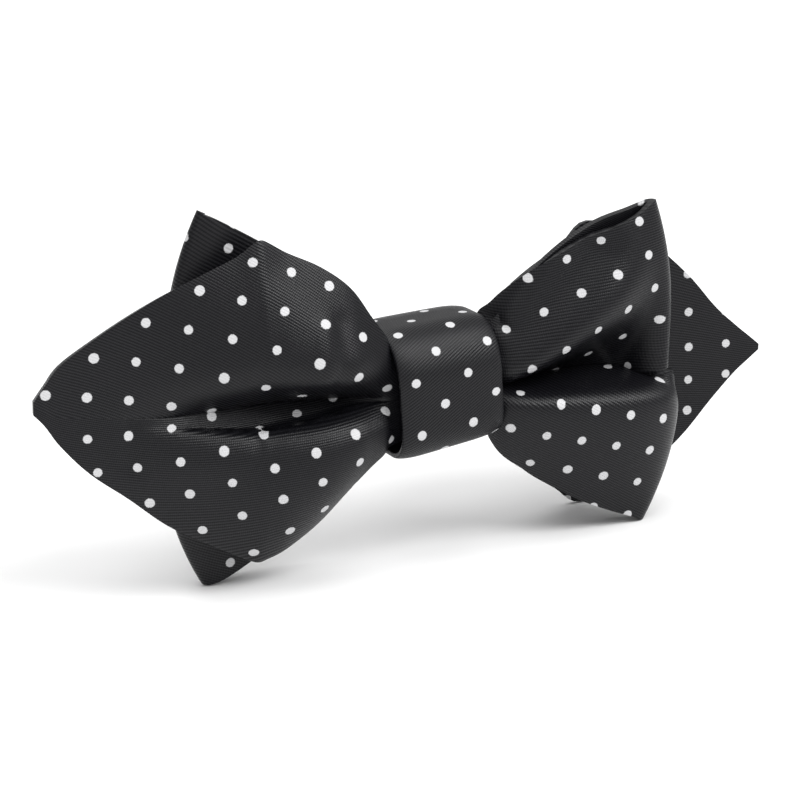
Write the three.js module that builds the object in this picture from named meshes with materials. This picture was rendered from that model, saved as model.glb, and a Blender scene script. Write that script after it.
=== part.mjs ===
// A bow tie with diamond points, modelled in millimetres, +Z up, front facing -Y.
// Each strip of cloth is one sheet: a plan line walked from its point, through the knot and
// round its fold, with a cross-section at every station. The third piece is the knot's band.
import * as THREE from 'three';

// Sizes of the whole
const KNOT_HEIGHT_ABOVE_FLOOR = 26.4;
const STRIP_LEAN_DEG = 4.5;
const CLOTH = 1.6;
const SECTION_STEPS = 20;
const STATION_STEPS = 2;

// Sizes of the front strip
const LEFT_POINT_REACH = 59.8;
const LEFT_POINT_HALF_HEIGHT = 23.9;
const RIGHT_FOLD_REACH = 34.2;
const RIGHT_FOLD_HALF_HEIGHT = 25.0;

// Sizes of the back strip
const RIGHT_POINT_REACH = 58.8;
const RIGHT_POINT_HALF_HEIGHT = 22.4;
const LEFT_FOLD_REACH = 34.2;
const LEFT_FOLD_HALF_HEIGHT = 27.8;

// Sizes shared by both strips
const PINCH_HALF_HEIGHT = 6.2;
const PINCH_HALF_LENGTH = 9.2;
const PUFF = 4.0;
const DEPTH = 10.0;

// Sizes of the knot's band
const BAND_WIDTH = 16.8;
const BAND_HALF_HEIGHT = 9.5;
const BAND_FRONT = 9.7;
const BAND_BACK = 11.0;
const BAND_WALL = 1.2;
const BAND_CORNER = 5.6;
const BAND_REAR_DEPTH = 9.0;
const BAND_REAR_HEIGHT = 7.0;
const BAND_BULGE = 0.9;

// Columns of a strip's table. Lengths are shares of the sizes named beside each group of rows.
// along: distance from the knot's centre, share of the reach, right is positive
// y: depth in plan, share of DEPTH, back is positive
// facing: way the outer face looks in plan, degrees, 0 front, 90 right, 180 back
// top, bottom: edges above and below the strip's axis, share of the half height
// valley: height of the valley line, share of the half height
// dip: valley's push along the facing, share of PUFF
// widthTop, widthBottom: how far the dip spreads, share of the section above or below the valley
// puffTop, puffBottom: lobes pushed along the facing, share of PUFF
// curlTop, curlBottom: edges pushed along the facing, share of PUFF
// bulgeTop, bulgeBottom: middle of each half moved away from the knot, share of PUFF
const COLUMNS = ['along', 'y', 'facing', 'top', 'bottom', 'valley', 'dip', 'widthTop', 'widthBottom',
  'puffTop', 'puffBottom', 'curlTop', 'curlBottom', 'bulgeTop', 'bulgeBottom'];

// Where a lobe is fullest, above and below the valley: a smaller number brings it nearer
const ROLL_LEFT_POINT = [0.5, 0.72];
const ROLL_RIGHT_LOOP = [0.92, 0.48];
const ROLL_PLAIN = [0.85, 0.85];

const FRONT_LEFT_POINT = [
  [-1.000, 0.34, -14, 0.075, 0.000, 0.035, 0.00, 0.20, 0.20, 0.00, 0.00, 0.00, 0.00, 0.00, 0.00],
  [-0.975, 0.31, -14, 0.165, 0.070, 0.010, 0.00, 0.20, 0.20, 0.00, 0.00, 0.00, 0.00, 0.00, 0.00],
  [-0.940, 0.27, -13, 0.282, 0.200, -0.020, 0.00, 0.20, 0.20, 0.04, 0.04, 0.00, 0.00, 0.00, 0.00],
  [-0.870, 0.18, -12, 0.413, 0.385, -0.035, -0.05, 0.20, 0.20, 0.10, 0.09, -0.05, -0.05, 0.00, 0.00],
  [-0.780, 0.06, -11, 0.560, 0.555, -0.050, -0.14, 0.19, 0.19, 0.20, 0.18, -0.10, -0.12, 0.00, 0.00],
  [-0.690, -0.06, -10, 0.687, 0.735, -0.055, -0.28, 0.18, 0.18, 0.35, 0.32, -0.16, -0.20, 0.00, 0.00],
  [-0.600, -0.18, -8, 0.793, 0.858, -0.050, -0.48, 0.17, 0.17, 0.55, 0.50, -0.22, -0.28, 0.00, 0.00],
  [-0.520, -0.28, -7, 0.883, 0.964, -0.042, -0.72, 0.16, 0.16, 0.74, 0.68, -0.32, -0.45, 0.00, 0.00],
  [-0.484, -0.32, -6, 0.946, 1.008, -0.038, -0.84, 0.16, 0.16, 0.80, 0.75, -0.36, -0.52, 0.00, 0.00],
  [-0.465, -0.34, -6, 0.975, 1.024, -0.035, -0.92, 0.15, 0.15, 0.85, 0.80, -0.40, -0.60, 0.00, 0.00],
  [-0.446, -0.36, -5, 0.958, 1.010, -0.032, -1.00, 0.15, 0.15, 0.88, 0.84, -0.42, -0.62, 0.00, 0.00],
  [-0.400, -0.42, -5, 0.890, 0.955, -0.028, -1.15, 0.15, 0.15, 0.95, 0.90, -0.45, -0.65, 0.00, 0.00],
  [-0.320, -0.50, -3, 0.795, 0.800, -0.028, -1.30, 0.16, 0.16, 1.00, 0.90, -0.45, -0.60, 0.00, 0.00],
  [-0.250, -0.56, 0, 0.665, 0.600, -0.028, -1.30, 0.20, 0.20, 0.85, 0.75, -0.35, -0.40, 0.00, 0.00],
  [-0.200, -0.60, 0, 0.485, 0.460, -0.030, -1.00, 0.26, 0.26, 0.50, 0.42, -0.25, -0.25, 0.00, 0.00],
  [-0.165, -0.62, 0, 0.365, 0.385, -0.030, -0.70, 0.34, 0.34, 0.26, 0.24, -0.25, -0.25, 0.00, 0.00],
];
const PINCH_FRONT = [
  [-1.000, -0.62, 0, 0.890, 1.110, -0.110, -0.42, 0.45, 0.45, 0.10, 0.10, -0.30, -0.30, 0.00, 0.00],
  [0.000, -0.63, 0, 1.000, 1.000, 0.000, -0.42, 0.45, 0.45, 0.10, 0.10, -0.30, -0.30, 0.00, 0.00],
  [1.000, -0.63, 0, 1.110, 0.890, 0.110, -0.42, 0.45, 0.45, 0.10, 0.10, -0.30, -0.30, 0.00, 0.00],
];
const FRONT_RIGHT_LOOP = [
  [0.290, -0.63, 0, 0.370, 0.270, -0.030, -0.55, 0.30, 0.30, 0.10, 0.10, -0.20, -0.20, 0.00, 0.00],
  [0.312, -0.64, 0, 0.565, 0.420, -0.050, -0.70, 0.20, 0.16, 0.20, 0.25, -0.20, -0.20, 0.00, 0.00],
  [0.345, -0.66, 0, 0.640, 0.495, -0.060, -0.85, 0.12, 0.10, 0.35, 0.45, -0.20, -0.25, 0.00, 0.00],
  [0.420, -0.70, 2, 0.705, 0.575, -0.055, -0.95, 0.13, 0.08, 0.45, 0.65, -0.15, -0.25, 0.08, 0.08],
  [0.540, -0.76, 3, 0.775, 0.678, -0.045, -1.00, 0.20, 0.07, 0.50, 0.75, -0.12, -0.25, 0.20, 0.24],
  [0.680, -0.82, 4, 0.838, 0.788, -0.040, -1.02, 0.29, 0.07, 0.50, 0.78, -0.10, -0.22, 0.40, 0.48],
  [0.800, -0.85, 6, 0.905, 0.860, -0.040, -1.00, 0.37, 0.07, 0.45, 0.75, -0.08, -0.18, 0.62, 0.76],
  [0.900, -0.84, 12, 0.965, 0.912, -0.040, -0.78, 0.44, 0.08, 0.30, 0.60, -0.05, -0.08, 0.80, 0.98],
  [0.960, -0.80, 45, 1.025, 0.950, -0.040, -0.32, 0.44, 0.12, 0.15, 0.32, 0.00, 0.00, 0.88, 1.10],
  [0.980, -0.72, 90, 1.030, 0.944, -0.040, -0.05, 0.40, 0.20, 0.05, 0.12, 0.00, 0.00, 0.90, 1.12],
  [0.960, -0.63, 135, 1.022, 0.915, -0.040, 0.00, 0.40, 0.30, 0.05, 0.05, 0.00, 0.00, 0.88, 1.10],
  [0.900, -0.53, 168, 0.980, 0.910, -0.030, 0.00, 0.40, 0.40, 0.05, 0.05, 0.00, 0.00, 0.80, 0.98],
  [0.740, -0.47, 176, 0.910, 0.850, -0.020, 0.05, 0.26, 0.26, 0.05, 0.05, 0.00, 0.00, 0.50, 0.60],
  [0.580, -0.41, 178, 0.780, 0.720, -0.010, 0.20, 0.30, 0.30, 0.05, 0.05, 0.00, 0.00, 0.24, 0.28],
  [0.420, -0.38, 180, 0.590, 0.550, -0.010, 0.35, 0.36, 0.36, 0.00, 0.00, 0.10, 0.10, 0.08, 0.08],
  [0.290, -0.39, 180, 0.370, 0.340, 0.000, 0.40, 0.42, 0.42, -0.06, -0.06, 0.20, 0.20, 0.00, 0.00],
];
const PINCH_FRONT_RETURN = [
  [1.000, -0.40, 180, 1.110, 0.890, 0.110, 0.42, 0.45, 0.45, -0.10, -0.10, 0.30, 0.30, 0.00, 0.00],
  [0.100, -0.40, 180, 1.000, 1.000, 0.000, 0.42, 0.45, 0.45, -0.10, -0.10, 0.30, 0.30, 0.00, 0.00],
];
const BACK_RIGHT_POINT = [
  [1.000, 0.05, 190, -0.020, 0.060, -0.020, 0.00, 0.30, 0.30, 0.00, 0.00, 0.00, 0.00, 0.00, 0.00],
  [0.970, 0.08, 190, 0.045, 0.130, -0.040, 0.00, 0.30, 0.30, 0.00, 0.00, 0.00, 0.00, 0.00, 0.00],
  [0.930, 0.12, 190, 0.130, 0.225, -0.050, 0.00, 0.30, 0.30, 0.00, 0.00, 0.00, 0.00, 0.00, 0.00],
  [0.870, 0.17, 189, 0.270, 0.400, -0.060, 0.00, 0.30, 0.30, 0.00, 0.00, 0.00, 0.00, 0.00, 0.00],
  [0.780, 0.25, 188, 0.490, 0.680, -0.070, 0.00, 0.30, 0.30, 0.00, 0.00, 0.00, 0.00, 0.00, 0.00],
  [0.650, 0.34, 187, 0.725, 0.950, -0.080, 0.04, 0.28, 0.28, -0.04, -0.04, 0.02, 0.02, 0.00, 0.00],
  [0.500, 0.42, 185, 0.865, 1.077, -0.090, 0.14, 0.26, 0.26, -0.15, -0.15, 0.06, 0.06, 0.00, 0.00],
  [0.420, 0.41, 184, 0.770, 0.950, -0.080, 0.25, 0.26, 0.26, -0.25, -0.25, 0.08, 0.08, 0.00, 0.00],
  [0.320, 0.34, 182, 0.630, 0.780, -0.060, 0.32, 0.30, 0.30, -0.22, -0.22, 0.08, 0.08, 0.00, 0.00],
  [0.240, 0.24, 181, 0.500, 0.570, -0.040, 0.38, 0.36, 0.36, -0.16, -0.16, 0.12, 0.12, 0.00, 0.00],
  [0.180, 0.12, 180, 0.390, 0.390, 0.000, 0.42, 0.42, 0.42, -0.12, -0.12, 0.22, 0.22, 0.00, 0.00],
];
const PINCH_BACK = [
  [1.000, 0.06, 180, 1.110, 0.890, 0.110, 0.42, 0.45, 0.45, -0.10, -0.10, 0.30, 0.30, 0.00, 0.00],
  [0.000, 0.06, 180, 1.000, 1.000, 0.000, 0.42, 0.45, 0.45, -0.10, -0.10, 0.30, 0.30, 0.00, 0.00],
  [-1.000, 0.06, 180, 0.890, 1.110, -0.110, 0.42, 0.45, 0.45, -0.10, -0.10, 0.30, 0.30, 0.00, 0.00],
];
const BACK_LEFT_LOOP = [
  [-0.290, 0.10, 180, 0.310, 0.310, -0.010, 0.36, 0.40, 0.40, -0.08, -0.08, 0.24, 0.24, 0.00, 0.00],
  [-0.420, 0.26, 181, 0.530, 0.560, -0.020, 0.15, 0.30, 0.30, 0.05, 0.05, 0.05, 0.05, 0.15, 0.15],
  [-0.560, 0.44, 182, 0.650, 0.770, -0.030, -0.05, 0.26, 0.26, 0.10, 0.10, 0.00, 0.00, 0.45, 0.45],
  [-0.720, 0.55, 184, 0.780, 0.900, -0.040, -0.10, 0.24, 0.24, 0.15, 0.15, 0.00, 0.00, 0.90, 0.95],
  [-0.900, 0.60, 194, 0.905, 0.985, -0.050, -0.10, 0.20, 0.20, 0.15, 0.15, 0.00, 0.00, 1.18, 1.32],
  [-0.970, 0.55, 230, 0.945, 0.990, -0.050, -0.05, 0.18, 0.18, 0.10, 0.10, 0.00, 0.00, 1.28, 1.45],
  [-0.988, 0.47, 270, 0.965, 1.028, -0.050, 0.00, 0.18, 0.18, 0.05, 0.05, 0.00, 0.00, 1.30, 1.48],
  [-0.970, 0.39, 310, 0.945, 1.042, -0.050, -0.05, 0.18, 0.18, 0.10, 0.10, 0.00, 0.00, 1.28, 1.45],
  [-0.900, 0.33, 346, 0.900, 1.008, -0.050, -0.10, 0.20, 0.20, 0.15, 0.15, 0.00, 0.00, 1.18, 1.32],
  [-0.740, 0.32, 356, 0.790, 0.900, -0.040, -0.10, 0.26, 0.26, 0.10, 0.10, 0.00, 0.00, 0.95, 1.00],
  [-0.580, 0.24, 358, 0.680, 0.780, -0.030, -0.20, 0.30, 0.30, 0.05, 0.05, 0.00, 0.00, 0.50, 0.50],
  [-0.420, 0.08, 360, 0.520, 0.560, -0.020, -0.35, 0.36, 0.36, 0.05, 0.05, -0.10, -0.10, 0.15, 0.15],
  [-0.290, -0.10, 360, 0.310, 0.310, -0.010, -0.40, 0.42, 0.42, 0.06, 0.06, -0.20, -0.20, 0.00, 0.00],
];
const PINCH_BACK_RETURN = [
  [-1.000, -0.17, 360, 0.890, 1.110, -0.110, -0.42, 0.45, 0.45, 0.10, 0.10, -0.30, -0.30, 0.00, 0.00],
  [-0.100, -0.17, 360, 1.000, 1.000, 0.000, -0.42, 0.45, 0.45, 0.10, 0.10, -0.30, -0.30, 0.00, 0.00],
];

// Turns a table's rows into stations in millimetres.
function stations(rows, reach, halfHeight, roll = ROLL_PLAIN) {
  return rows.map((row) => {
    const named = Object.fromEntries(COLUMNS.map((name, i) => [name, row[i]]));
    return {
      x: named.along * reach,
      y: named.y * DEPTH,
      facing: named.facing,
      top: named.top * halfHeight,
      bottom: named.bottom * halfHeight,
      valley: named.valley * halfHeight,
      dip: named.dip * PUFF,
      widthTop: named.widthTop,
      widthBottom: named.widthBottom,
      puffTop: named.puffTop * PUFF,
      puffBottom: named.puffBottom * PUFF,
      curlTop: named.curlTop * PUFF,
      curlBottom: named.curlBottom * PUFF,
      bulgeTop: named.bulgeTop * PUFF,
      bulgeBottom: named.bulgeBottom * PUFF,
      rollTop: roll[0],
      rollBottom: roll[1],
    };
  });
}

// Walks through the stations so that every value follows one smooth spline.
function walk(list) {
  const out = [];
  const keys = Object.keys(list[0]);
  const slope = (i, key) => {
    const a = list[Math.max(i - 1, 0)][key];
    const b = list[Math.min(i + 1, list.length - 1)][key];
    return (b - a) / 2;
  };
  for (let i = 0; i + 1 < list.length; i += 1) {
    for (let k = 0; k < STATION_STEPS; k += 1) {
      const t = k / STATION_STEPS;
      const point = {};
      for (const key of keys) {
        const a = list[i][key];
        const b = list[i + 1][key];
        const h1 = 2 * t ** 3 - 3 * t ** 2 + 1;
        const h2 = t ** 3 - 2 * t ** 2 + t;
        const h3 = -2 * t ** 3 + 3 * t ** 2;
        const h4 = t ** 3 - t ** 2;
        point[key] = h1 * a + h2 * slope(i, key) + h3 * b + h4 * slope(i + 1, key);
      }
      out.push(point);
    }
  }
  out.push(list[list.length - 1]);
  return out;
}

// One point of the cloth's middle surface; v runs from -1 at the lower edge to 1 at the upper.
function clothPoint(station, v) {
  const upper = v >= 0;
  const share = Math.abs(v);
  const height = upper ? station.top - station.valley : station.bottom + station.valley;
  const puff = upper ? station.puffTop : station.puffBottom;
  const curl = upper ? station.curlTop : station.curlBottom;
  const roll = upper ? station.rollTop : station.rollBottom;
  const width = upper ? station.widthTop : station.widthBottom;
  const lobe = puff * Math.sin(Math.PI * share ** roll);
  const valley = station.dip * Math.exp(-((share / width) ** 2));
  const push = lobe + valley + curl * share ** 4;
  const bulge = (upper ? station.bulgeTop : station.bulgeBottom) * (1 - share ** 2.6);
  const turn = THREE.MathUtils.degToRad(station.facing);
  return new THREE.Vector3(
    station.x + Math.sign(station.x) * bulge + push * Math.sin(turn),
    station.y - push * Math.cos(turn),
    station.valley + Math.sign(v) * share * height,
  );
}

// A closed sheet of even thickness from a grid of middle points.
function sheetFromGrid(grid, thickness) {
  const rows = grid.length;
  const cols = grid[0].length;
  const at = (i, j) => grid[Math.min(Math.max(i, 0), rows - 1)][Math.min(Math.max(j, 0), cols - 1)];
  const vertices = [];
  for (const side of [1, -1]) {
    for (let i = 0; i < rows; i += 1) {
      for (let j = 0; j < cols; j += 1) {
        const along = at(i + 1, j).clone().sub(at(i - 1, j));
        const across = at(i, j + 1).clone().sub(at(i, j - 1));
        const normal = along.cross(across).normalize();
        const p = at(i, j).clone().addScaledVector(normal, (side * thickness) / 2);
        vertices.push(p.x, p.y, p.z);
      }
    }
  }
  const faces = [];
  const back = rows * cols;
  const id = (i, j) => i * cols + j;
  const quad = (a, b, c, d) => faces.push(a, b, c, a, c, d);
  for (let i = 0; i + 1 < rows; i += 1) {
    for (let j = 0; j + 1 < cols; j += 1) {
      quad(id(i, j), id(i + 1, j), id(i + 1, j + 1), id(i, j + 1));
      quad(back + id(i, j), back + id(i, j + 1), back + id(i + 1, j + 1), back + id(i + 1, j));
    }
  }
  for (let i = 0; i + 1 < rows; i += 1) {
    quad(id(i, 0), back + id(i, 0), back + id(i + 1, 0), id(i + 1, 0));
    const j = cols - 1;
    quad(id(i, j), id(i + 1, j), back + id(i + 1, j), back + id(i, j));
  }
  for (let j = 0; j + 1 < cols; j += 1) {
    quad(id(0, j), id(0, j + 1), back + id(0, j + 1), back + id(0, j));
    const i = rows - 1;
    quad(id(i, j), back + id(i, j), back + id(i, j + 1), id(i, j + 1));
  }
  const geometry = new THREE.BufferGeometry();
  geometry.setAttribute('position', new THREE.Float32BufferAttribute(vertices, 3));
  geometry.setIndex(faces);
  return geometry;
}

// A strip: its stations walked smoothly, then leaned about the knot's centre.
function strip(list) {
  const spread = Array.from({ length: SECTION_STEPS + 1 }, (_, j) => {
    const v = (2 * j) / SECTION_STEPS - 1;
    return Math.sign(v) * Math.abs(v) ** 1.15;
  });
  const grid = walk(list).map((station) => spread.map((v) => clothPoint(station, v)));
  const geometry = sheetFromGrid(grid, CLOTH);
  geometry.rotateY(THREE.MathUtils.degToRad(STRIP_LEAN_DEG));
  return geometry;
}

// The knot's band: a rounded ring with a flat rear wall, slightly fuller in the middle.
function bandOutline(inset) {
  const front = -BAND_FRONT + inset;
  const rear = BAND_BACK - inset;
  const high = BAND_HALF_HEIGHT - inset;
  const soft = BAND_CORNER - inset * 0.8;
  const deep = BAND_REAR_DEPTH - inset * 0.8;
  const tall = BAND_REAR_HEIGHT - inset * 0.8;
  const arc = (cy, cz, radiusY, radiusZ, from, to, steps) => (
    Array.from({ length: steps + 1 }, (_, i) => {
      const turn = THREE.MathUtils.degToRad(from + ((to - from) * i) / steps);
      return [cy + radiusY * Math.cos(turn), cz + radiusZ * Math.sin(turn)];
    }));
  return [
    ...arc(front + soft, -high + soft, soft, soft, 270, 180, 8),
    ...arc(front + soft, high - soft, soft, soft, 180, 90, 8),
    ...arc(rear - deep, high - tall, deep, tall, 90, 0, 8),
    ...arc(rear - deep, -high + tall, deep, tall, 0, -90, 8),
  ];
}

function band() {
  const outer = bandOutline(0);
  const inner = bandOutline(BAND_WALL);
  const across = [-0.5, -0.47, -0.3, 0, 0.3, 0.47, 0.5];
  const count = outer.length;
  const vertices = [];
  const bulge = (share) => BAND_BULGE * (1 - (2 * share) ** 4) - BAND_BULGE;
  for (const share of across) {
    for (const [y, z] of outer) {
      const swell = bulge(share);
      const flatRear = y > BAND_BACK - 0.01;
      vertices.push(share * BAND_WIDTH, flatRear ? y : y * (1 + swell / BAND_FRONT / 2),
        z * (1 + swell / BAND_HALF_HEIGHT / 2));
    }
  }
  for (const share of [-0.5, 0.5]) {
    for (const [y, z] of inner) {
      vertices.push(share * BAND_WIDTH, y, z);
    }
  }
  const faces = [];
  const quad = (a, b, c, d) => faces.push(a, b, c, a, c, d);
  const layers = across.length;
  const ring = (k, i) => k * count + (i % count);
  for (let k = 0; k + 1 < layers; k += 1) {
    for (let i = 0; i < count; i += 1) {
      quad(ring(k, i), ring(k, i + 1), ring(k + 1, i + 1), ring(k + 1, i));
    }
  }
  for (let i = 0; i < count; i += 1) {
    quad(ring(layers, i + 1), ring(layers, i), ring(layers + 1, i), ring(layers + 1, i + 1));
    quad(ring(0, i + 1), ring(0, i), ring(layers, i), ring(layers, i + 1));
    quad(ring(layers - 1, i), ring(layers - 1, i + 1), ring(layers + 1, i + 1), ring(layers + 1, i));
  }
  const geometry = new THREE.BufferGeometry();
  geometry.setAttribute('position', new THREE.Float32BufferAttribute(vertices, 3));
  geometry.setIndex(faces);
  return geometry;
}

function facingOut(geometry) {
  const position = geometry.getAttribute('position');
  const index = geometry.getIndex();
  const a = new THREE.Vector3();
  const b = new THREE.Vector3();
  const c = new THREE.Vector3();
  let volume = 0;
  for (let i = 0; i < index.count; i += 3) {
    a.fromBufferAttribute(position, index.getX(i));
    b.fromBufferAttribute(position, index.getX(i + 1));
    c.fromBufferAttribute(position, index.getX(i + 2));
    volume += a.dot(b.cross(c));
  }
  if (volume < 0) {
    for (let i = 0; i < index.count; i += 3) {
      const keep = index.getX(i + 1);
      index.setX(i + 1, index.getX(i + 2));
      index.setX(i + 2, keep);
    }
  }
  geometry.computeVertexNormals();
  return geometry;
}

const SATIN = { color: 0x1d1e22, roughness: 0.5, metalness: 0.0 };

const pieces = {
  front_bow: strip([
    ...stations(FRONT_LEFT_POINT, LEFT_POINT_REACH, LEFT_POINT_HALF_HEIGHT, ROLL_LEFT_POINT),
    ...stations(PINCH_FRONT, PINCH_HALF_LENGTH, PINCH_HALF_HEIGHT),
    ...stations(FRONT_RIGHT_LOOP, RIGHT_FOLD_REACH, RIGHT_FOLD_HALF_HEIGHT, ROLL_RIGHT_LOOP),
    ...stations(PINCH_FRONT_RETURN, PINCH_HALF_LENGTH, PINCH_HALF_HEIGHT),
  ]),
  back_bow: strip([
    ...stations(BACK_RIGHT_POINT, RIGHT_POINT_REACH, RIGHT_POINT_HALF_HEIGHT),
    ...stations(PINCH_BACK, PINCH_HALF_LENGTH, PINCH_HALF_HEIGHT),
    ...stations(BACK_LEFT_LOOP, LEFT_FOLD_REACH, LEFT_FOLD_HALF_HEIGHT),
    ...stations(PINCH_BACK_RETURN, PINCH_HALF_LENGTH, PINCH_HALF_HEIGHT),
  ]),
  knot_wrap: band(),
};

const group = new THREE.Group();
const bounds = new THREE.Box3();
for (const [name, geometry] of Object.entries(pieces)) {
  const mesh = new THREE.Mesh(facingOut(geometry), new THREE.MeshStandardMaterial(SATIN));
  mesh.name = name;
  geometry.translate(0, 0, KNOT_HEIGHT_ABOVE_FLOOR);
  geometry.computeBoundingBox();
  bounds.union(geometry.boundingBox);
  group.add(mesh);
}

// The row's origin is the middle of the underside of the bounding box.
const middle = bounds.getCenter(new THREE.Vector3());
for (const mesh of group.children) {
  mesh.geometry.translate(-middle.x, -middle.y, -bounds.min.z);
}

export default group;
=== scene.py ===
import math

import bmesh
import bpy
import numpy as np
from mathutils import Matrix, Vector


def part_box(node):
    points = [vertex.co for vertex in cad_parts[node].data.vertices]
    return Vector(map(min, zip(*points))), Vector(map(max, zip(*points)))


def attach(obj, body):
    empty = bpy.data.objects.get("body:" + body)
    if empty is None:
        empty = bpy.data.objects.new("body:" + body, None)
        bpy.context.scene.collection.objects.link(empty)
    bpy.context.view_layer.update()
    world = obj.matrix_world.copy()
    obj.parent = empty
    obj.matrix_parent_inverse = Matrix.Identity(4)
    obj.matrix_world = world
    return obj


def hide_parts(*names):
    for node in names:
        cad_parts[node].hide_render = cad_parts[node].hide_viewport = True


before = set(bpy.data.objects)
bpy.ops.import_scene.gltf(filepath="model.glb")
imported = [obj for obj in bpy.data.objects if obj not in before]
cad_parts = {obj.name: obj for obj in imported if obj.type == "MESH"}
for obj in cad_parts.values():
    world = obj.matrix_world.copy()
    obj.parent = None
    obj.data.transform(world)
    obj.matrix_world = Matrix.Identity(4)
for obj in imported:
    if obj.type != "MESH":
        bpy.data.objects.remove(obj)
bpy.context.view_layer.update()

MM = 0.001

# Lengths are in millimetres, in the frame of the knot's centre
STRIP_LEAN = math.radians(4.5)
CLOTH = 1.3
EDGE_ROLL = 0.35
EDGE_ROLL_STEPS = 3
EDGE_ROLL_ANGLE = math.radians(55)
DOT_RADIUS = 0.69

# Sizes of the strips
LEFT_POINT_REACH = 59.8
LEFT_POINT_HALF_HEIGHT = 23.9
RIGHT_FOLD_REACH = 34.2
RIGHT_FOLD_HALF_HEIGHT = 25.0
RIGHT_POINT_REACH = 58.8
RIGHT_POINT_HALF_HEIGHT = 22.4
LEFT_FOLD_REACH = 34.2
LEFT_FOLD_HALF_HEIGHT = 27.8
PINCH_HALF_HEIGHT = 6.8
PINCH_HALF_LENGTH = 7.8
PUFF = 4.0
DEPTH = 10.0

# Powers that shape a strip: of the puff's roll in the upper and the lower half, of the curl
# of the edge and of the bulge away from the knot
ROLL_LEFT_POINT = (0.5, 0.72)
ROLL_RIGHT_LOOP = (0.92, 0.48)
ROLL_PLAIN = (0.85, 0.85)
CURL_POWER = 4
BULGE_POWER = 2.6

# The groove under the valley of the left point: its depth, then middle and width, as shares
# of the half height and in millimetres along; only cloth that faces the front has it
TUCK = 1.8
TUCK_ACROSS = (0.085, 0.05)
TUCK_ALONG = (-26.0, 13.0)
TUCK_FACING_LIMIT = 30

# Steps of a strip between two of its rows and from edge to edge, closer near the valley
STEPS_ALONG = 5
STEPS_ACROSS = 72
STEPS_CROWDING = 1.25

# Sizes of the knot's band
BAND_WIDTH = 16.8
BAND_HALF_HEIGHT = 9.5
BAND_FRONT = 9.7
BAND_BACK = 11.0
BAND_WALL = 0.9
BAND_TOP_CORNER = (6.6, 7.2)
BAND_LOW_CORNER = (4.6, 4.4)
BAND_REAR_CORNER = (9.0, 7.0)
BAND_TAPER_FRONT = 0.055
BAND_TAPER_LOW = 0.07
BAND_EDGE_DROP = 0.5
BAND_EDGE_POWER = 6
BAND_STEPS_ROUND = 120
BAND_STEPS_CORNER = 10
BAND_STEPS_ACROSS = 24
SEAM = 1e-6

# Rows of a strip, each a cross-section. Lengths are shares of the sizes above:
# along, y, facing in degrees, top, bottom, valley's height, dip, and above and below the valley
# in turn the width of the dip, the puff, the curl of the edge and the bulge away from the knot
FRONT_LEFT_POINT = [
    (-1.000, 0.34, -14, 0.075, 0.000, 0.035, 0.00, 0.20, 0.20, 0.00, 0.00, 0.00, 0.00, 0.00, 0.00),
    (-0.975, 0.31, -14, 0.165, 0.070, 0.010, 0.00, 0.20, 0.20, 0.00, 0.00, 0.00, 0.00, 0.00, 0.00),
    (-0.940, 0.27, -13, 0.282, 0.200, -0.020, 0.00, 0.20, 0.20, 0.00, 0.00, 0.00, 0.00, 0.00, 0.00),
    (-0.870, 0.18, -12, 0.413, 0.385, -0.035, 0.00, 0.20, 0.20, 0.00, 0.00, -0.05, -0.05, 0.00, 0.00),
    (-0.780, 0.06, -11, 0.560, 0.555, -0.050, -0.03, 0.19, 0.19, 0.03, 0.03, -0.10, -0.12, 0.00, 0.00),
    (-0.690, -0.06, -10, 0.687, 0.735, -0.055, -0.22, 0.18, 0.18, 0.22, 0.22, -0.16, -0.20, 0.00, 0.00),
    (-0.600, -0.18, -8, 0.793, 0.858, -0.050, -0.62, 0.17, 0.17, 0.55, 0.50, -0.22, -0.28, 0.00, 0.00),
    (-0.520, -0.28, -7, 0.883, 0.964, -0.042, -0.90, 0.16, 0.16, 0.74, 0.68, -0.32, -0.45, 0.00, 0.00),
    (-0.484, -0.32, -6, 0.946, 1.008, -0.038, -1.02, 0.16, 0.16, 0.80, 0.75, -0.36, -0.52, 0.00, 0.00),
    (-0.465, -0.34, -6, 0.975, 1.024, -0.035, -1.08, 0.15, 0.15, 0.85, 0.80, -0.40, -0.60, 0.00, 0.00),
    (-0.446, -0.36, -5, 0.958, 1.010, -0.032, -1.15, 0.15, 0.15, 0.88, 0.84, -0.42, -0.62, 0.00, 0.00),
    (-0.400, -0.42, -5, 0.890, 0.955, -0.028, -1.28, 0.15, 0.15, 0.95, 0.90, -0.45, -0.65, 0.00, 0.00),
    (-0.320, -0.50, -3, 0.795, 0.800, -0.028, -1.30, 0.16, 0.16, 1.00, 0.90, -0.45, -0.60, 0.00, 0.00),
    (-0.250, -0.56, 0, 0.665, 0.600, -0.028, -1.30, 0.20, 0.20, 0.85, 0.75, -0.35, -0.40, 0.00, 0.00),
    (-0.200, -0.60, 0, 0.485, 0.460, -0.030, -1.00, 0.26, 0.26, 0.50, 0.42, -0.25, -0.25, 0.00, 0.00),
    (-0.165, -0.62, 0, 0.365, 0.385, -0.030, -0.70, 0.34, 0.34, 0.26, 0.24, -0.25, -0.25, 0.00, 0.00),
]
PINCH_FRONT = [
    (-1.000, -0.62, 0, 0.890, 1.110, -0.110, -0.42, 0.45, 0.45, 0.10, 0.10, -0.30, -0.30, 0.00, 0.00),
    (0.000, -0.63, 0, 1.000, 1.000, 0.000, -0.42, 0.45, 0.45, 0.10, 0.10, -0.30, -0.30, 0.00, 0.00),
    (1.000, -0.63, 0, 1.110, 0.890, 0.110, -0.42, 0.45, 0.45, 0.10, 0.10, -0.30, -0.30, 0.00, 0.00),
]
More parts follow.
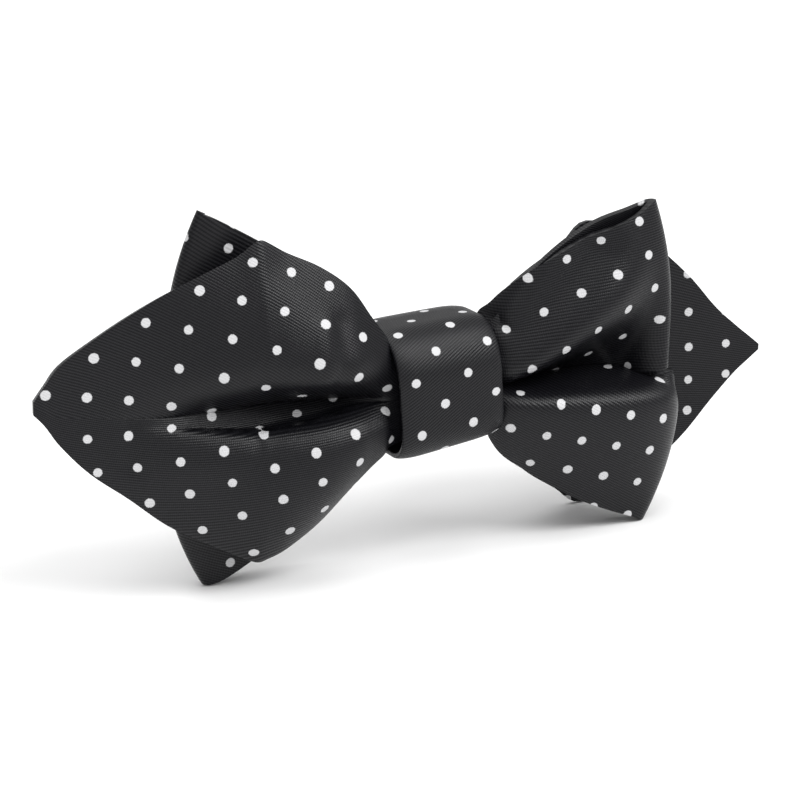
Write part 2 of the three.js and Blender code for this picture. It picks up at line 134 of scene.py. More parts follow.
FRONT_RIGHT_LOOP = [
    (0.252, -0.62, 0, 0.330, 0.290, -0.030, -0.50, 0.30, 0.30, 0.10, 0.10, -1.30, -0.60, 0.00, 0.00),
    (0.276, -0.64, 0, 0.390, 0.375, -0.045, -0.65, 0.22, 0.18, 0.20, 0.25, -1.30, -0.60, 0.00, 0.00),
    (0.325, -0.66, 0, 0.480, 0.470, -0.055, -0.95, 0.14, 0.10, 0.35, 0.45, -1.20, -0.50, 0.00, 0.00),
    (0.420, -0.70, 2, 0.605, 0.565, -0.055, -1.40, 0.16, 0.08, 0.45, 0.65, -0.80, -0.40, 0.08, 0.08),
    (0.540, -0.76, 3, 0.735, 0.678, -0.045, -1.80, 0.21, 0.07, 0.50, 0.75, -0.40, -0.30, 0.20, 0.24),
    (0.680, -0.82, 4, 0.835, 0.788, -0.040, -2.10, 0.29, 0.07, 0.50, 0.78, -0.15, -0.22, 0.40, 0.48),
    (0.800, -0.85, 6, 0.905, 0.860, -0.040, -2.10, 0.37, 0.07, 0.45, 0.75, -0.08, -0.18, 0.62, 0.76),
    (0.900, -0.84, 12, 0.965, 0.912, -0.040, -1.50, 0.44, 0.08, 0.30, 0.60, -0.05, -0.08, 0.80, 0.98),
    (0.960, -0.80, 45, 1.025, 0.950, -0.040, -0.45, 0.44, 0.12, 0.15, 0.32, 0.00, 0.00, 0.88, 1.10),
    (0.980, -0.72, 90, 1.030, 0.944, -0.040, -0.05, 0.40, 0.20, 0.05, 0.12, 0.00, 0.00, 0.90, 1.12),
    (0.960, -0.63, 135, 1.022, 0.915, -0.040, 0.00, 0.40, 0.30, 0.05, 0.05, 0.00, 0.00, 0.88, 1.10),
    (0.900, -0.53, 168, 0.980, 0.910, -0.030, 0.60, 0.40, 0.40, 0.05, 0.05, 0.00, 0.00, 0.80, 0.98),
    (0.740, -0.47, 176, 0.910, 0.850, -0.020, 1.40, 0.26, 0.26, 0.05, 0.05, 0.00, 0.00, 0.50, 0.60),
    (0.580, -0.41, 178, 0.780, 0.720, -0.010, 1.40, 0.30, 0.30, 0.05, 0.05, 0.00, 0.00, 0.24, 0.28),
    (0.420, -0.38, 180, 0.590, 0.550, -0.010, 1.00, 0.36, 0.36, 0.00, 0.00, 0.10, 0.10, 0.08, 0.08),
    (0.290, -0.39, 180, 0.370, 0.340, 0.000, 0.40, 0.42, 0.42, -0.06, -0.06, 0.20, 0.20, 0.00, 0.00),
]
PINCH_FRONT_RETURN = [
    (1.000, -0.40, 180, 1.110, 0.890, 0.110, 0.42, 0.45, 0.45, -0.10, -0.10, 0.30, 0.30, 0.00, 0.00),
    (0.100, -0.40, 180, 1.000, 1.000, 0.000, 0.42, 0.45, 0.45, -0.10, -0.10, 0.30, 0.30, 0.00, 0.00),
]
BACK_RIGHT_POINT = [
    (1.000, 0.05, 190, -0.020, 0.060, -0.020, 0.00, 0.30, 0.30, 0.00, 0.00, 0.00, 0.00, 0.00, 0.00),
    (0.970, 0.08, 190, 0.045, 0.130, -0.040, 0.00, 0.30, 0.30, 0.00, 0.00, 0.00, 0.00, 0.00, 0.00),
    (0.930, 0.12, 190, 0.130, 0.225, -0.050, 0.00, 0.30, 0.30, 0.00, 0.00, 0.00, 0.00, 0.00, 0.00),
    (0.870, 0.17, 189, 0.270, 0.400, -0.060, 0.00, 0.30, 0.30, 0.00, 0.00, 0.00, 0.00, 0.00, 0.00),
    (0.780, 0.25, 188, 0.530, 0.680, -0.070, 0.00, 0.30, 0.30, 0.00, 0.00, 0.00, 0.00, 0.00, 0.00),
    (0.650, 0.34, 187, 0.800, 0.950, -0.080, 0.04, 0.28, 0.28, -0.04, -0.04, 0.02, 0.02, 0.00, 0.00),
    (0.500, 0.42, 185, 0.930, 1.077, -0.090, 0.14, 0.26, 0.26, -0.15, -0.15, 0.06, 0.06, 0.00, 0.00),
    (0.420, 0.41, 184, 0.770, 0.950, -0.080, 0.25, 0.26, 0.26, -0.25, -0.25, 0.08, 0.08, 0.00, 0.00),
    (0.320, 0.34, 182, 0.630, 0.780, -0.060, 0.32, 0.30, 0.30, -0.22, -0.22, 0.08, 0.08, 0.00, 0.00),
    (0.240, 0.24, 181, 0.500, 0.570, -0.040, 0.38, 0.36, 0.36, -0.16, -0.16, 0.12, 0.12, 0.00, 0.00),
    (0.180, 0.12, 180, 0.390, 0.390, 0.000, 0.42, 0.42, 0.42, -0.12, -0.12, 0.22, 0.22, 0.00, 0.00),
]
PINCH_BACK = [
    (1.000, 0.06, 180, 1.110, 0.890, 0.110, 0.42, 0.45, 0.45, -0.10, -0.10, 0.30, 0.30, 0.00, 0.00),
    (0.000, 0.06, 180, 1.000, 1.000, 0.000, 0.42, 0.45, 0.45, -0.10, -0.10, 0.30, 0.30, 0.00, 0.00),
    (-1.000, 0.06, 180, 0.890, 1.110, -0.110, 0.42, 0.45, 0.45, -0.10, -0.10, 0.30, 0.30, 0.00, 0.00),
]
BACK_LEFT_LOOP = [
    (-0.290, 0.10, 180, 0.310, 0.310, -0.010, 0.36, 0.40, 0.40, -0.08, -0.08, 0.24, 0.24, 0.00, 0.00),
    (-0.420, 0.26, 181, 0.530, 0.560, -0.020, 0.15, 0.30, 0.30, 0.05, 0.05, 0.05, 0.05, 0.15, 0.15),
    (-0.560, 0.44, 182, 0.650, 0.770, -0.030, -0.05, 0.26, 0.26, 0.10, 0.10, 0.00, 0.00, 0.45, 0.45),
    (-0.720, 0.55, 184, 0.780, 0.900, -0.040, -0.10, 0.24, 0.24, 0.15, 0.15, 0.00, 0.00, 0.90, 0.95),
    (-0.900, 0.60, 194, 0.905, 0.985, -0.050, -0.10, 0.20, 0.20, 0.15, 0.15, 0.00, 0.00, 1.18, 1.32),
    (-0.970, 0.55, 230, 0.945, 0.990, -0.050, -0.05, 0.18, 0.18, 0.10, 0.10, 0.00, 0.00, 1.28, 1.45),
    (-0.988, 0.47, 270, 0.965, 1.028, -0.050, 0.00, 0.18, 0.18, 0.05, 0.05, 0.00, 0.00, 1.30, 1.48),
    (-0.970, 0.39, 310, 0.945, 1.042, -0.050, -0.05, 0.18, 0.18, 0.10, 0.10, 0.00, 0.00, 1.28, 1.45),
    (-0.900, 0.33, 346, 0.900, 1.008, -0.050, -0.10, 0.20, 0.20, 0.15, 0.15, 0.00, 0.00, 1.18, 1.32),
    (-0.740, 0.32, 356, 0.790, 0.900, -0.040, -0.10, 0.26, 0.26, 0.10, 0.10, 0.00, 0.00, 0.95, 1.00),
    (-0.580, 0.24, 358, 0.680, 0.780, -0.030, -0.20, 0.30, 0.30, 0.05, 0.05, 0.00, 0.00, 0.50, 0.50),
    (-0.420, 0.08, 360, 0.520, 0.560, -0.020, -0.35, 0.36, 0.36, 0.05, 0.05, -0.10, -0.10, 0.15, 0.15),
    (-0.290, -0.10, 360, 0.310, 0.310, -0.010, -0.40, 0.42, 0.42, 0.06, 0.06, -0.20, -0.20, 0.00, 0.00),
]
PINCH_BACK_RETURN = [
    (-1.000, -0.17, 360, 0.890, 1.110, -0.110, -0.42, 0.45, 0.45, 0.10, 0.10, -0.30, -0.30, 0.00, 0.00),
    (-0.100, -0.17, 360, 1.000, 1.000, 0.000, -0.42, 0.45, 0.45, 0.10, 0.10, -0.30, -0.30, 0.00, 0.00),
]

# Lengths along and across that scale a layout's cubic, then where the far layer of a loop sets
# its rows aside: by what share of a row, and over what length
LAYOUT_SPAN = (30, 20)
FAR_ROW_SHIFT = 0.5
FAR_ROW_RAMP = 7

# Bounds that keep the metric of the dots finite where the cloth is pinched
LEAST_CELL = 1e-5
METRIC_LIMIT = 900

# Dots of the cloth by column and row. For each lobe, the length along at its middle, the last
# length that bends the layout, then column and row as a cubic of the length along, in shares
# of 30, and the height above the valley, in shares of 20: first the upper, then the lower half.
LEFT_POINT_DOTS = (30.0, 60.0, (
    (0.697, 4.649, -0.460, -0.146, 0.098, -0.338, 0.155, 0.156, -0.042, -0.052),
    (4.871, -1.648, -3.494, -0.835, 0.002, -0.072, 0.251, -0.030, -0.106, 0.025),
), (
    (0.716, 4.631, 0.678, -0.061, -0.345, -0.120, 0.190, -0.149, 0.011, 0.099),
    (5.877, 1.331, -5.169, 0.960, -0.710, -1.068, 0.241, 0.067, -0.005, 0.262),
))
RIGHT_LOOP_DOTS = (80.2, 97.0, (
    (-3.333, 5.356, 2.193, 0.558, 0.141, -0.844, 0.175, -0.143, -0.041, -0.106),
    (2.970, 2.492, -2.584, 0.312, 0.372, -0.666, 0.227, -0.249, 0.010, -0.010),
), (
    (-2.693, 5.912, -1.946, -0.038, -0.287, -1.343, 0.034, 0.036, -0.139, 0.125),
    (5.388, -1.680, -4.212, 0.020, 0.214, -0.278, 0.072, 0.010, -0.099, -0.120),
))
RIGHT_POINT_TERMS = (
    (-2.041, -4.681, 0.034, 0.037, -0.175, 0.108, 0, 0, 0, 0),
    (1.858, -1.448, -3.146, -1.354, 1.247, 0.412, 0, 0, 0, 0),
)
RIGHT_POINT_DOTS = (25.0, 60.0, RIGHT_POINT_TERMS, RIGHT_POINT_TERMS)
LEFT_LOOP_TERMS = (
    (0.490, 5.519, -0.440, 0, 0, 0, 0, 0, 0, 0),
    (3.612, -1.194, -2.953, 0, 0, 0, 0, 0, 0, 0),
)
LEFT_LOOP_DOTS = (94.0, 200.0, LEFT_LOOP_TERMS, LEFT_LOOP_TERMS)
KNOT_DOTS = ((-0.683, 0.1166, 0.1291), (1.055, 0.1185, -0.1163))

# Soft dents of the front cloth: length along and height above the valley at both ends, then
# half width and depth, in millimetres; a dent with a negative depth is a ridge
FRONT_DENTS = [
    ((70.5, 5.5), (84.5, 20.5), 3.0, 2.0),
    ((70.0, 10.8), (71.8, 9.2), 1.2, 0.8),
    ((72.0, 12.5), (80.0, 21.5), 1.8, -0.5),
    ((71.0, 2.5), (86.0, 13.0), 2.4, -0.35),
    ((13.5, -1.0), (13.8, -7.0), 1.3, 0.35),
    ((41.0, 11.5), (40.8, 5.0), 1.2, -0.35),
    ((43.5, 12.0), (43.0, 4.0), 1.3, 0.40),
    ((36.0, 20.0), (46.0, 10.0), 3.0, 0.45),
    ((22.0, -12.0), (44.0, -5.5), 3.5, 0.35),
]

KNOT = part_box("knot_wrap")
KNOT_CENTRE = (Vector(KNOT[0]) + Vector(KNOT[1])) / 2
ORIGIN = Vector((KNOT_CENTRE.x, KNOT[1][1] - BAND_BACK * MM, KNOT_CENTRE.z))


def stations(rows, reach, half_height, roll=ROLL_PLAIN):
    """Rows of a strip in millimetres and degrees, with the powers of the roll added."""
    scale = np.array([reach, DEPTH, 1, half_height, half_height, half_height, PUFF, 1, 1,
                      PUFF, PUFF, PUFF, PUFF, PUFF, PUFF])
    return np.hstack([np.array(rows) * scale, np.tile(roll, (len(rows), 1))])


def walk(list_of_rows):
    """Every column follows one smooth spline through the rows, sampled between them."""
    rows = np.vstack(list_of_rows)
    slope = np.empty_like(rows)
    slope[1:-1] = (rows[2:] - rows[:-2]) / 2
    slope[0] = (rows[1] - rows[0]) / 2
    slope[-1] = (rows[-1] - rows[-2]) / 2
    out = []
    for i in range(len(rows) - 1):
        for k in range(STEPS_ALONG):
            t = k / STEPS_ALONG
            out.append((2 * t**3 - 3 * t**2 + 1) * rows[i] + (t**3 - 2 * t**2 + t) * slope[i]
                       + (-2 * t**3 + 3 * t**2) * rows[i + 1] + (t**3 - t**2) * slope[i + 1])
    out.append(rows[-1])
    return np.array(out)


def bell(values, middle, width):
    return np.exp(-(((values - middle) / width) ** 2))


def cloth_points(rows, shares):
    """Middle surface of a strip: one row of points for each station, lower edge first."""
    (along, y, facing, top, bottom, valley, dip, width_a, width_b, puff_a, puff_b, curl_a, curl_b,
     bulge_a, bulge_b, roll_a, roll_b) = (rows[:, i][:, None] for i in range(rows.shape[1]))
    v = shares[None, :]
    upper = v >= 0
    s = np.abs(v)
    height = np.where(upper, top - valley, bottom + valley)
    puff = np.where(upper, puff_a, puff_b)
    curl = np.where(upper, curl_a, curl_b)
    width = np.where(upper, width_a, width_b)
    roll = np.where(upper, roll_a, roll_b)
    push = puff * np.sin(np.pi * s**roll) + dip * bell(s, 0, width) + curl * s**CURL_POWER
    bulge = np.where(upper, bulge_a, bulge_b)
    along = along + np.sign(along) * bulge * (1 - s**BULGE_POWER)
    turn = np.radians(facing)
    x = along + push * np.sin(turn)
    depth = y - push * np.cos(turn)
    tuck = bell(s, *TUCK_ACROSS) * bell(along, *TUCK_ALONG)
    z = valley + v * height - np.where(upper, 0, TUCK * tuck * (facing < TUCK_FACING_LIMIT))
    lean_x = x * math.cos(STRIP_LEAN) + z * math.sin(STRIP_LEAN)
    lean_z = -x * math.sin(STRIP_LEAN) + z * math.cos(STRIP_LEAN)
    return np.stack([lean_x, depth, lean_z], axis=-1)


def dent_cloth(points, u, v, dents):
    """Push points back along each dent, which is a soft groove from one place to another."""
    for (u_a, v_a), (u_b, v_b), half_width, depth in dents:
        way = np.array([u_b - u_a, v_b - v_a])
        share = ((u - u_a) * way[0] + (v - v_a) * way[1]) / (way @ way)
        held = np.clip(share, 0, 1)
        off = (u - u_a - held * way[0]) ** 2 + (v - v_a - held * way[1]) ** 2
        points[..., 1] += depth * np.exp(-off / half_width**2)


def fabric_coordinates(points, shares):
    """Lengths along and across the cloth, in millimetres, measured on the bent surface."""
    across = np.zeros(points.shape[:2])
    across[:, 1:] = np.cumsum(np.linalg.norm(np.diff(points, axis=1), axis=2), axis=1)
    middle = int(np.argmin(np.abs(shares)))
    across -= across[:, middle:middle + 1]
    along = np.zeros(points.shape[:2])
    along[1:] = np.cumsum(np.linalg.norm(np.diff(points, axis=0), axis=2), axis=0)
    return along, across


def dot_numbers(layout, half, u, v):
    """Column and row of the dotted cloth at lengths u along and heights v, in millimetres."""
    start, last = layout[:2]

    def cubic(terms, u):
        a, b = (u - start) / LAYOUT_SPAN[0], v / LAYOUT_SPAN[1]
        parts = (1, a, b, a * a, a * b, b * b, a**3, a * a * b, a * b * b, b**3)
        return sum(term * part for term, part in zip(terms, parts))

    held = np.minimum(u, last)
    found = []
    for terms in layout[2 + half]:
        slope = cubic(terms, held) - cubic(terms, held - 1)
        found.append(cubic(terms, held) + slope * (u - held))
    return found[0], found[1] + FAR_ROW_SHIFT * np.clip((u - last) / FAR_ROW_RAMP, 0, 1)


def dot_metric(points, column, row):
    """Squared lengths, in millimetres, of one step over columns, over both and over rows."""
    point_i, point_j = np.gradient(points, axis=0), np.gradient(points, axis=1)
    column_i, column_j = np.gradient(column, axis=0), np.gradient(column, axis=1)
    row_i, row_j = np.gradient(row, axis=0), np.gradient(row, axis=1)
    area = column_i * row_j - column_j * row_i
    area = np.where(np.abs(area) < LEAST_CELL, LEAST_CELL, area)[..., None]
    over_column = (point_i * row_j[..., None] - point_j * row_i[..., None]) / area
    over_row = (point_j * column_i[..., None] - point_i * column_j[..., None]) / area
    metric = [(over_column**2).sum(-1), 2 * (over_column * over_row).sum(-1),
              (over_row**2).sum(-1)]
    return np.clip(np.stack(metric, axis=-1), -METRIC_LIMIT, METRIC_LIMIT)


def cloth_grid(points, layers):
    """Faces through rows of points. From the places of a face's corners, layers gives the
    lengths along and across the cloth, the column and row of the dots and their metric."""
    n, m = points.shape[:2]
    bm = bmesh.new()
    bmesh.ops.create_grid(bm, x_segments=n - 1, y_segments=m - 1, size=1)
    places = {}
    for vert in bm.verts:
        i = round((vert.co.x + 1) / 2 * (n - 1))
        j = round((vert.co.y + 1) / 2 * (m - 1))
        places[vert] = (i, j)
        vert.co = Vector(points[i, j]) * MM + ORIGIN
    fabric = bm.loops.layers.uv.new("fabric")
    dots = bm.loops.layers.uv.new("dots")
    metric = bm.loops.layers.float_color.new("metric")
    for face in bm.faces:
        along, across, column, row, lengths = layers([places[vert] for vert in face.verts])
        for loop in face.loops:
            i, j = places[loop.vert]
            loop[fabric].uv = (along[i, j], across[i, j])
            loop[dots].uv = (column[i, j], row[i, j])
            loop[metric] = (*lengths[i, j], 1)
    return bm


def grid_object(name, bm):
    mesh = bpy.data.meshes.new(name)
    bm.to_mesh(mesh)
    bm.free()
    obj = bpy.data.objects.new(name, mesh)
    bpy.context.collection.objects.link(obj)
    return obj


def cloth_object(name, bm, thickness):
    """A smooth piece of cloth with a thickness and rolled edges."""
    obj = grid_object(name, bm)
    for poly in obj.data.polygons:
        poly.use_smooth = True
    shell = obj.modifiers.new("thickness", "SOLIDIFY")
    shell.thickness = thickness * MM
    shell.offset = 0
    edge = obj.modifiers.new("rolled edge", "BEVEL")
    edge.width = EDGE_ROLL * MM
    edge.segments = EDGE_ROLL_STEPS
    edge.limit_method = "ANGLE"
    edge.angle_limit = EDGE_ROLL_ANGLE
    return obj


def strip(name, list_of_rows, layouts, dents=()):
    """A strip from the tip of its point through the knot, round its fold and back."""
    rows = walk(list_of_rows)
    middle_of_knot = (len(list_of_rows[0]) + 1) * STEPS_ALONG
    flat = np.linspace(-1, 1, STEPS_ACROSS + 1)
    shares = np.sign(flat) * np.abs(flat) ** STEPS_CROWDING
    points = cloth_points(rows, shares)
    along, across = fabric_coordinates(points, shares)

    # the layout of the dots is measured on the plan of the strip and above its valley
    plan = np.concatenate([[0], np.cumsum(np.hypot(*np.diff(rows[:, :2], axis=0).T))])
    u = np.repeat(plan[:, None], STEPS_ACROSS + 1, axis=1)
    rise = points[..., 0] * math.sin(STRIP_LEAN) + points[..., 2] * math.cos(STRIP_LEAN)
    valley = rows[:, 5:6]
    v = rise - valley
    dent_cloth(points, u, v, dents)
    cells = []
    for layout in layouts:
        for half in (0, 1):
            column, row = dot_numbers(layout, half, u, v)
            cells.append((column, row, dot_metric(points, column, row)))

    def layers(places):
        lobe = 0 if min(i for i, _ in places) < middle_of_knot else 1
        half = 0 if min(j for _, j in places) >= STEPS_ACROSS // 2 else 1
        return along, across, *cells[2 * lobe + half]

    return cloth_object(name, cloth_grid(points, layers), CLOTH)


front = strip("front_strip", [
    stations(FRONT_LEFT_POINT, LEFT_POINT_REACH, LEFT_POINT_HALF_HEIGHT, ROLL_LEFT_POINT),
    stations(PINCH_FRONT, PINCH_HALF_LENGTH, PINCH_HALF_HEIGHT),
    stations(FRONT_RIGHT_LOOP, RIGHT_FOLD_REACH, RIGHT_FOLD_HALF_HEIGHT, ROLL_RIGHT_LOOP),
    stations(PINCH_FRONT_RETURN, PINCH_HALF_LENGTH, PINCH_HALF_HEIGHT),
], (LEFT_POINT_DOTS, RIGHT_LOOP_DOTS), FRONT_DENTS)
back = strip("back_strip", [
    stations(BACK_RIGHT_POINT, RIGHT_POINT_REACH, RIGHT_POINT_HALF_HEIGHT),
    stations(PINCH_BACK, PINCH_HALF_LENGTH, PINCH_HALF_HEIGHT),
    stations(BACK_LEFT_LOOP, LEFT_FOLD_REACH, LEFT_FOLD_HALF_HEIGHT),
    stations(PINCH_BACK_RETURN, PINCH_HALF_LENGTH, PINCH_HALF_HEIGHT),
], (RIGHT_POINT_DOTS, LEFT_LOOP_DOTS))


def band_outline():
    """The band seen from the side: a closed rounded outline as (y, z), soft in front, and the
    length round it at every point."""
    def arc(cy, cz, radius_y, radius_z, start, end):
        turns = np.radians(np.linspace(start, end, BAND_STEPS_CORNER + 1))
        return np.stack([cy + radius_y * np.cos(turns), cz + radius_z * np.sin(turns)], axis=1)
    front_y, rear_y, high_z = -BAND_FRONT, BAND_BACK, BAND_HALF_HEIGHT
    (low_y, low_z), (top_y, top_z) = BAND_LOW_CORNER, BAND_TOP_CORNER
    rear_depth, rear_height = BAND_REAR_CORNER
    corners = np.vstack([
        arc(rear_y - rear_depth, -high_z + rear_height, rear_depth, rear_height, 0, -90),
        arc(front_y + low_y, -high_z + low_z, low_y, low_z, 270, 180),
        arc(front_y + top_y, high_z - top_z, top_y, top_z, 180, 90),
        arc(rear_y - rear_depth, high_z - rear_height, rear_depth, rear_height, 90, 0),
    ])
    closed = np.vstack([corners, corners[:1]])
    length = np.concatenate([[0], np.cumsum(np.linalg.norm(np.diff(closed, axis=0), axis=1))])
    even = np.linspace(0, length[-1], BAND_STEPS_ROUND + 1)
    return np.stack([np.interp(even, length, closed[:, k]) for k in range(2)], axis=1), even


def knot_band():
    """The band round the pinch, drawn in at its edges and tapered in front and below."""
    outline, length = band_outline()
    side = np.linspace(-0.5, 0.5, BAND_STEPS_ACROSS + 1)
    shape = (len(outline), len(side))
    x = np.broadcast_to(side * BAND_WIDTH, shape)
    y, z = (np.broadcast_to(outline[:, k:k + 1], shape) for k in range(2))
    along = np.broadcast_to(length[:, None], shape)
    front_middle = length[np.argmin(np.where(outline[:, 0] > 0, np.inf, np.abs(outline[:, 1])))]
    column, row = (a + b * x + c * (along - front_middle) for a, b, c in KNOT_DOTS)
    lengths = dot_metric(np.stack([x, y, z], axis=-1), column, row)

    inset = BAND_WALL / 2 + BAND_EDGE_DROP * (2 * np.abs(side)) ** BAND_EDGE_POWER
    radial = 1 - inset / BAND_HALF_HEIGHT
    y = y * (radial * (1 - BAND_TAPER_FRONT * (side + 0.5) * (y < 0)))
    z = z * (radial * (1 - BAND_TAPER_LOW * 2 * side * (z < 0)))
    bm = cloth_grid(np.stack([x, y, z], axis=-1),
                    lambda places: (along, x, column, row, lengths))
    bmesh.ops.remove_doubles(bm, verts=bm.verts, dist=SEAM)
    return cloth_object("knot_band", bm, BAND_WALL)


knot = knot_band()


# Material of the cloth. Waves are counted for each column and each row of dots.
TWILL_WAVES = (-3.8, 13.8)
THREAD_WAVES = (19.0, 8.0)
THREAD_SHARE = 0.35
SLUB_SHIFT = 3.0
CLOTH_LOW = (0.0025, 0.0025, 0.0034, 1)
CLOTH_HIGH = (0.0080, 0.0080, 0.0100, 1)
DOT_COLOUR = (0.56, 0.56, 0.57, 1)
DOT_SIZE_SPREAD = 0.10
DOT_OUTLINE_SPREAD = 0.30
DOT_SOFT_EDGE = 0.07
DOT_HEIGHT = 1.6
GLOSS, GLOSS_OF_WEAVE = 0.24, 0.07
ROUGHNESS = 0.33
HALF_CELL = (0.5, 0.5, 0.0)


def new_node(tree, kind, **values):
    """A node with its properties and, by the name of the socket, its constants set."""
    node = tree.nodes.new(kind)
    for key, value in values.items():
        if key in node.inputs:
            node.inputs[key].default_value = value
        else:
            setattr(node, key, value)
    return node


def operation_node(tree, kind, operation, inputs):
    """A node of an operation; each input is a constant or comes from another node."""
    node = new_node(tree, kind, operation=operation)
    for socket, value in zip(node.inputs, inputs):
        if isinstance(value, (int, float, tuple)):
            socket.default_value = value
        else:
            tree.links.new(value, socket)
    return node


def math_node(tree, operation, *inputs):
    return operation_node(tree, "ShaderNodeMath", operation, inputs).outputs["Value"]


def vector_node(tree, operation, *inputs):
    node = operation_node(tree, "ShaderNodeVectorMath", operation, inputs)
    return node.outputs["Value" if operation == "DOT_PRODUCT" else "Vector"]


def wave_phase(tree, place, waves):
    turns = (waves[0] * math.tau, waves[1] * math.tau, 0.0)
    return vector_node(tree, "DOT_PRODUCT", place, turns)


def satin(name):
    """Near-black satin with fine twill ribs and raised light dots."""
    mat = bpy.data.materials.new(name)
    mat.use_nodes = True
    tree = mat.node_tree
    links = tree.links
    bsdf = tree.nodes["Principled BSDF"]
    place = new_node(tree, "ShaderNodeUVMap", uv_map="dots").outputs["UV"]
    lengths = new_node(tree, "ShaderNodeAttribute", attribute_name="metric").outputs["Vector"]
    fabric = new_node(tree, "ShaderNodeUVMap", uv_map="fabric").outputs["UV"]

    # how far from the middle of the nearest dot, in millimetres on the cloth
    shifted = vector_node(tree, "ADD", place, HALF_CELL)
    from_dot = vector_node(tree, "SUBTRACT", vector_node(tree, "FRACTION", shifted), HALF_CELL)
    apart = new_node(tree, "ShaderNodeSeparateXYZ")
    links.new(from_dot, apart.inputs[0])
    dx, dy = apart.outputs["X"], apart.outputs["Y"]
    products = new_node(tree, "ShaderNodeCombineXYZ")
    for socket, pair in (("X", (dx, dx)), ("Y", (dx, dy)), ("Z", (dy, dy))):
        links.new(math_node(tree, "MULTIPLY", *pair), products.inputs[socket])
    squared = vector_node(tree, "DOT_PRODUCT", products.outputs[0], lengths)
    distance = math_node(tree, "SQRT", math_node(tree, "MAXIMUM", squared, 0.0))

    # ribs of the twill, which lie at a small angle to the rows of dots, crossed by threads
    slub = new_node(tree, "ShaderNodeTexNoise", Scale=5.0, Detail=3.0, Roughness=0.6)
    links.new(fabric, slub.inputs["Vector"])
    slub = slub.outputs["Fac"]
    phase = wave_phase(tree, place, TWILL_WAVES)
    ribs = math_node(tree, "SINE", math_node(tree, "MULTIPLY_ADD", slub, SLUB_SHIFT, phase))
    threads = math_node(tree, "SINE", wave_phase(tree, place, THREAD_WAVES))
    weave = math_node(tree, "MULTIPLY_ADD", threads, THREAD_SHARE, ribs)

    # dots: a round patch of light thread with a woven, slightly uneven outline
    size = new_node(tree, "ShaderNodeTexWhiteNoise")
    links.new(vector_node(tree, "FLOOR", shifted), size.inputs["Vector"])
    rough = math_node(tree, "MULTIPLY_ADD", slub, DOT_OUTLINE_SPREAD, -DOT_OUTLINE_SPREAD / 2)
    radius = math_node(tree, "MULTIPLY_ADD", size.outputs["Value"], DOT_SIZE_SPREAD,
                       DOT_RADIUS - DOT_SIZE_SPREAD / 2)
    inside = math_node(tree, "SUBTRACT", math_node(tree, "ADD", radius, rough), distance)
    mask = new_node(tree, "ShaderNodeMapRange", interpolation_type="SMOOTHSTEP")
    mask.inputs["From Min"].default_value = -DOT_SOFT_EDGE
    mask.inputs["From Max"].default_value = DOT_SOFT_EDGE
    links.new(inside, mask.inputs["Value"])
    mask = mask.outputs["Result"]

    dark = new_node(tree, "ShaderNodeMix", data_type="RGBA")
    dark.inputs["A"].default_value = CLOTH_LOW
    dark.inputs["B"].default_value = CLOTH_HIGH
    links.new(math_node(tree, "MULTIPLY_ADD", weave, 0.4, 0.5), dark.inputs["Factor"])
    cloth = new_node(tree, "ShaderNodeMix", data_type="RGBA")
    cloth.inputs["B"].default_value = DOT_COLOUR
    links.new(mask, cloth.inputs["Factor"])
    links.new(dark.outputs["Result"], cloth.inputs["A"])
    links.new(cloth.outputs["Result"], bsdf.inputs["Base Color"])
    gloss = math_node(tree, "MULTIPLY_ADD", weave, GLOSS_OF_WEAVE, GLOSS)
    links.new(gloss, bsdf.inputs["Specular IOR Level"])
    bsdf.inputs["Roughness"].default_value = ROUGHNESS

    height = math_node(tree, "MULTIPLY_ADD", mask, DOT_HEIGHT, weave)
    bump = new_node(tree, "ShaderNodeBump", Strength=0.30, Distance=0.06 * MM)
    links.new(height, bump.inputs["Height"])
    links.new(bump.outputs["Normal"], bsdf.inputs["Normal"])
    return mat


front.data.materials.append(satin("dotted satin front"))
back.data.materials.append(satin("dotted satin back"))
knot.data.materials.append(satin("dotted satin knot"))

for obj, node, slot in ((front, "front_bow", "dotted_satin_front"),
                        (back, "back_bow", "dotted_satin_back"),
                        (knot, "knot_wrap", "dotted_satin_knot")):
    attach(obj, "root")
    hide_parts(node)

# Floor, which reaches three metres to each side
FLOOR_REACH = 3
floor_bm = bmesh.new()
bmesh.ops.create_grid(floor_bm, x_segments=1, y_segments=1, size=FLOOR_REACH)
floor = grid_object("floor", floor_bm)
paper = bpy.data.materials.new("white paper")
paper.use_nodes = True
surface = paper.node_tree.nodes["Principled BSDF"].inputs
surface["Base Color"].default_value = (0.9, 0.9, 0.9, 1)
surface["Roughness"].default_value = 0.9
surface["Specular IOR Level"].default_value = 0.1
floor.data.materials.append(paper)

# Light: an even white world and soft suns, each with its azimuth from the front, where left is
# negative, its elevation and its width in degrees, and its strength
WORLD_STRENGTH = 0.50
SUNS = (("key", 35, 45, 30, 1.9), ("side", 70, 45, 35, 0.6), ("fill", -35, 45, 35, 0.35),
        ("top", 0, 85, 35, 0.9), ("rear", 180, 55, 40, 0.5))

scene = bpy.context.scene
scene.view_settings.view_transform = "Standard"
world = bpy.data.worlds.new("studio")
scene.world = world
world.use_nodes = True
background = world.node_tree.nodes["Background"].inputs
background["Color"].default_value = (1, 1, 1, 1)
background["Strength"].default_value = WORLD_STRENGTH


def direction(azimuth, elevation):
    """Which way a place lies from the object, with azimuth and elevation in degrees."""
    turn, rise = math.radians(azimuth), math.radians(elevation)
    return Vector((math.sin(turn) * math.cos(rise), -math.cos(turn) * math.cos(rise),
                   math.sin(rise)))


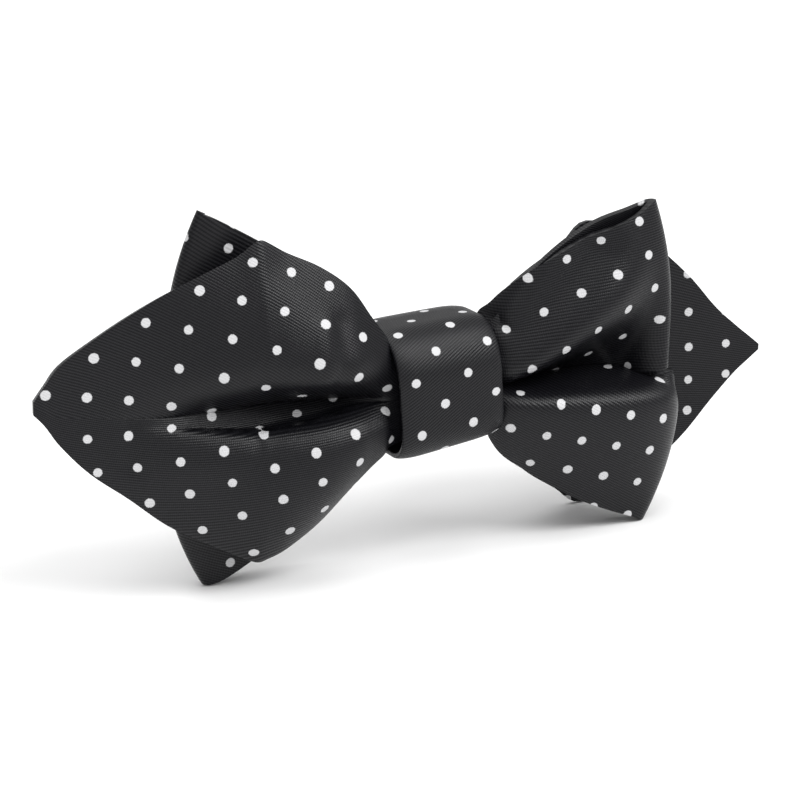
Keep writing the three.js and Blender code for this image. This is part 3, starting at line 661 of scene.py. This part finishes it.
for name, azimuth, elevation, width, strength in SUNS:
    data = bpy.data.lights.new(name, "SUN")
    data.energy = strength
    data.angle = math.radians(width)
    sun = bpy.data.objects.new(name, data)
    bpy.context.collection.objects.link(sun)
    sun.location = direction(azimuth, elevation)
    sun.rotation_mode = "QUATERNION"
    sun.rotation_quaternion = direction(azimuth, elevation).to_track_quat("Z", "Y")

# Camera: to the left of the front, above and rolled, in degrees, its distance in metres, its
# focal length in pixels, and the pixel where the knot's centre comes
CAMERA_AZIMUTH, CAMERA_ELEVATION, CAMERA_ROLL = -25, 17, math.radians(-3.5)
CAMERA_DISTANCE = 0.380
CAMERA_FOCAL = 2546.0
CAMERA_SENSOR = 36
AIM_PIXEL = (426.0, 379.0)
AIM_BELOW_KNOT = 0.0002
AIM_ROUNDS = 40
PICTURE_SIDE = 800

centre = ORIGIN - Vector((0, 0, AIM_BELOW_KNOT))
camera = bpy.data.objects.new("camera", bpy.data.cameras.new("camera"))
bpy.context.collection.objects.link(camera)
scene.camera = camera
camera.location = centre + direction(CAMERA_AZIMUTH, CAMERA_ELEVATION) * CAMERA_DISTANCE
target = centre.copy()
for _ in range(AIM_ROUNDS):
    ahead = (target - camera.location).normalized()
    right = ahead.cross(Vector((0, 0, 1))).normalized()
    up = right.cross(ahead)
    side = math.cos(CAMERA_ROLL) * right + math.sin(CAMERA_ROLL) * up
    rise = -math.sin(CAMERA_ROLL) * right + math.cos(CAMERA_ROLL) * up
    d = centre - camera.location
    px = PICTURE_SIDE / 2 + CAMERA_FOCAL * d.dot(side) / d.dot(ahead)
    py = PICTURE_SIDE / 2 - CAMERA_FOCAL * d.dot(rise) / d.dot(ahead)
    shift = side * (px - AIM_PIXEL[0]) - rise * (py - AIM_PIXEL[1])
    target = target + shift * CAMERA_DISTANCE / CAMERA_FOCAL

camera.rotation_mode = "QUATERNION"
camera.rotation_quaternion = Matrix((side, rise, -ahead)).transposed().to_quaternion()
camera.data.sensor_width = CAMERA_SENSOR
camera.data.lens = CAMERA_SENSOR * CAMERA_FOCAL / PICTURE_SIDE
camera.data.clip_start = 0.01
camera.data.clip_end = 20
